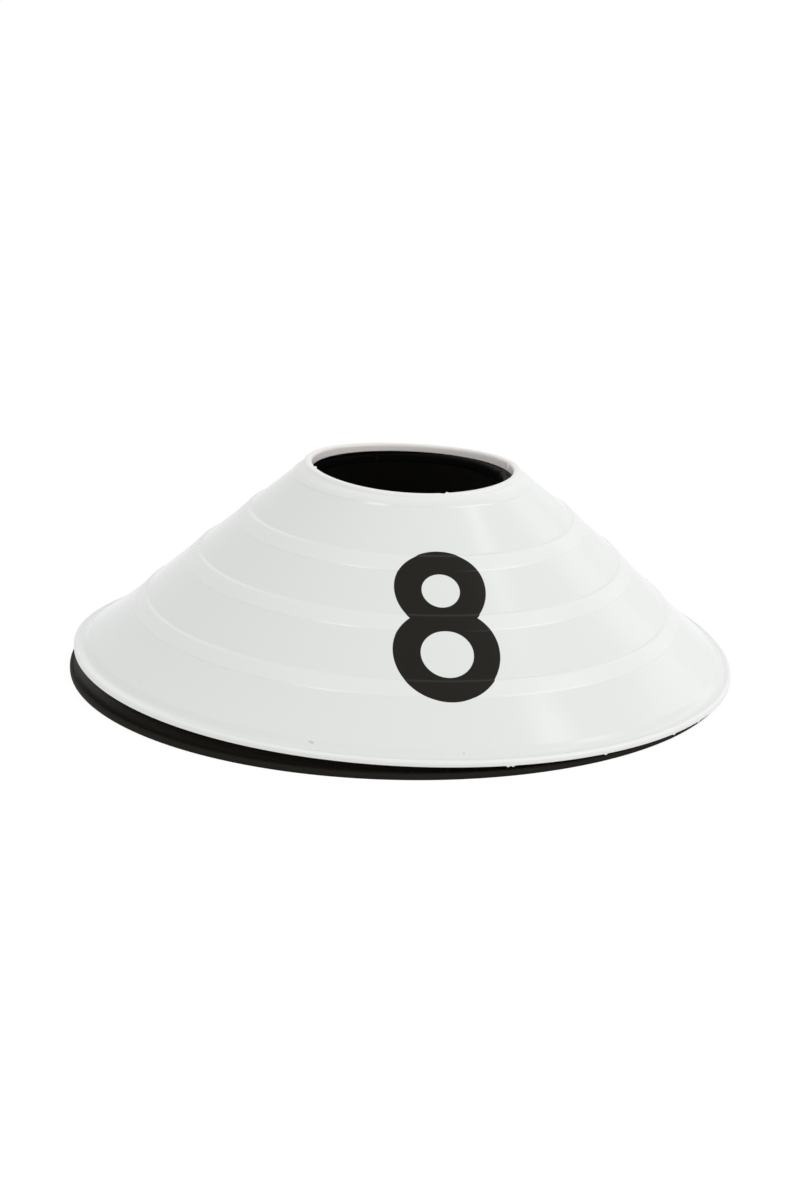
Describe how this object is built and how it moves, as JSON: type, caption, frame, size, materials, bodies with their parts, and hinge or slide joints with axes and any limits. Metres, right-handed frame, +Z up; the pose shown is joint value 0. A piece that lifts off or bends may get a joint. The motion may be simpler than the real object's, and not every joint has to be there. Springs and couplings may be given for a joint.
{
  "type": "sports marker cone",
  "caption": "Low marker cones of thin plastic, white stacked over black, each with an open neck, raised rings, a wide brim and a beaded rim; the upper one lifts off.",
  "frame": {"origin": "centre of the black cone's rim, on the ground", "axes": "+Z up along the black cone's axis, -Y towards the viewer of the picture, +X to that viewer's right"},
  "size_m": [0.2013, 0.2, 0.0633],
  "materials": {
    "black_plastic": "semi-gloss moulded polyethylene",
    "white_plastic": "semi-gloss moulded polyethylene"
  },
  "bodies": {
    "lower_cone": {"black_cone": "black_plastic"},
    "upper_cone": {"white_cone": "white_plastic"}
  },
  "joints": [
    {"name": "lift_off", "type": "slide", "parent": "lower_cone", "child": "upper_cone", "axis": [0, 0, 1], "range_m": [0, 0.08]}
  ]
}
